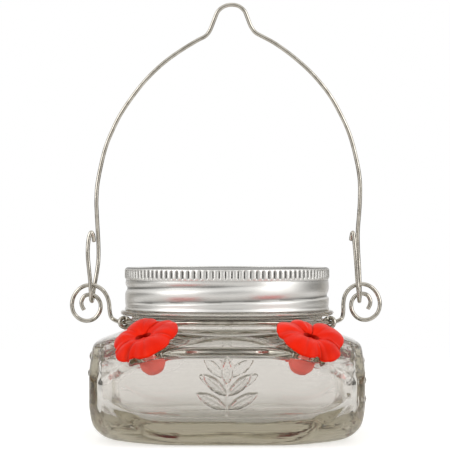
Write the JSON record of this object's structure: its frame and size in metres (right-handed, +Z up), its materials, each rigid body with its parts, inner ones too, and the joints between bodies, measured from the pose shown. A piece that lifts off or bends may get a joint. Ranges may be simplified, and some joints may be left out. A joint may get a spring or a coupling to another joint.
{
  "type": "mason jar hummingbird feeder",
  "caption": "Squat square glass jar with a knurled screw lid, red flower feeding ports on its shoulder corners, a wire neck collar with scrolls and a tall wire bail for hanging.",
  "frame": {"origin": "centre of the jar's base, at the level it stands on", "axes": "+Z up, -Y towards the front face with the sprig relief, +X to the right of that face"},
  "size_m": [0.1366, 0.1246, 0.1891],
  "materials": {
    "jar_glass": "clear pressed glass, thick walls with a faint grey-green tint",
    "band_metal": "satin tinplate",
    "disc_metal": "bright tinplate",
    "gasket_rubber": "matt sealing compound",
    "wire_steel": "bright drawn wire",
    "flower_plastic": "soft red plastic, low sheen",
    "stopper_rubber": "red soft rubber"
  },
  "bodies": {
    "jar": {"glass_jar": "jar_glass", "neck_wire_front": "wire_steel", "neck_wire_rear": "wire_steel"},
    "lid": {"lid_disc": "disc_metal", "lid_gasket": "gasket_rubber"},
    "band": {"screw_band": "band_metal"},
    "bail": {"bail": "wire_steel"},
    "stopper_front_left": {"stopper_front_left": "stopper_rubber"},
    "flower_front_left": {"flower_front_left": "flower_plastic"},
    "stopper_front_right": {"stopper_front_right": "stopper_rubber"},
    "flower_front_right": {"flower_front_right": "flower_plastic"},
    "stopper_rear_left": {"stopper_rear_left": "stopper_rubber"},
    "flower_rear_left": {"flower_rear_left": "flower_plastic"},
    "stopper_rear_right": {"stopper_rear_right": "stopper_rubber"},
    "flower_rear_right": {"flower_rear_right": "flower_plastic"}
  },
  "joints": [
    {"name": "lid_lift", "type": "slide", "parent": "jar", "child": "lid", "axis": [0, 0, 1], "range_m": [0, 0.045]},
    {"name": "band_turn", "type": "hinge", "parent": "lid", "child": "band", "pos_m": [0, 0, 0.064], "axis": [0, 0, 1], "continuous": true},
    {"name": "bail_rock", "type": "hinge", "parent": "jar", "child": "bail", "pos_m": [0, 0, 0.06135], "axis": [1, 0, 0], "range_deg": [-12, 12]},
    {"name": "stopper_front_left_pull", "type": "slide", "parent": "jar", "child": "stopper_front_left", "axis": [-0.2796, -0.4843, 0.829], "range_m": [0, 0.02]},
    {"name": "flower_front_left_pull", "type": "slide", "parent": "stopper_front_left", "child": "flower_front_left", "axis": [-0.2796, -0.4843, 0.829], "range_m": [0, 0.016]},
    {"name": "stopper_front_right_pull", "type": "slide", "parent": "jar", "child": "stopper_front_right", "axis": [0.2796, -0.4843, 0.829], "range_m": [0, 0.02]},
    {"name": "flower_front_right_pull", "type": "slide", "parent": "stopper_front_right", "child": "flower_front_right", "axis": [0.2796, -0.4843, 0.829], "range_m": [0, 0.016]},
    {"name": "stopper_rear_left_pull", "type": "slide", "parent": "jar", "child": "stopper_rear_left", "axis": [-0.2796, 0.4843, 0.829], "range_m": [0, 0.02]},
    {"name": "flower_rear_left_pull", "type": "slide", "parent": "stopper_rear_left", "child": "flower_rear_left", "axis": [-0.2796, 0.4843, 0.829], "range_m": [0, 0.016]},
    {"name": "stopper_rear_right_pull", "type": "slide", "parent": "jar", "child": "stopper_rear_right", "axis": [0.2796, 0.4843, 0.829], "range_m": [0, 0.02]},
    {"name": "flower_rear_right_pull", "type": "slide", "parent": "stopper_rear_right", "child": "flower_rear_right", "axis": [0.2796, 0.4843, 0.829], "range_m": [0, 0.016]}
  ]
}
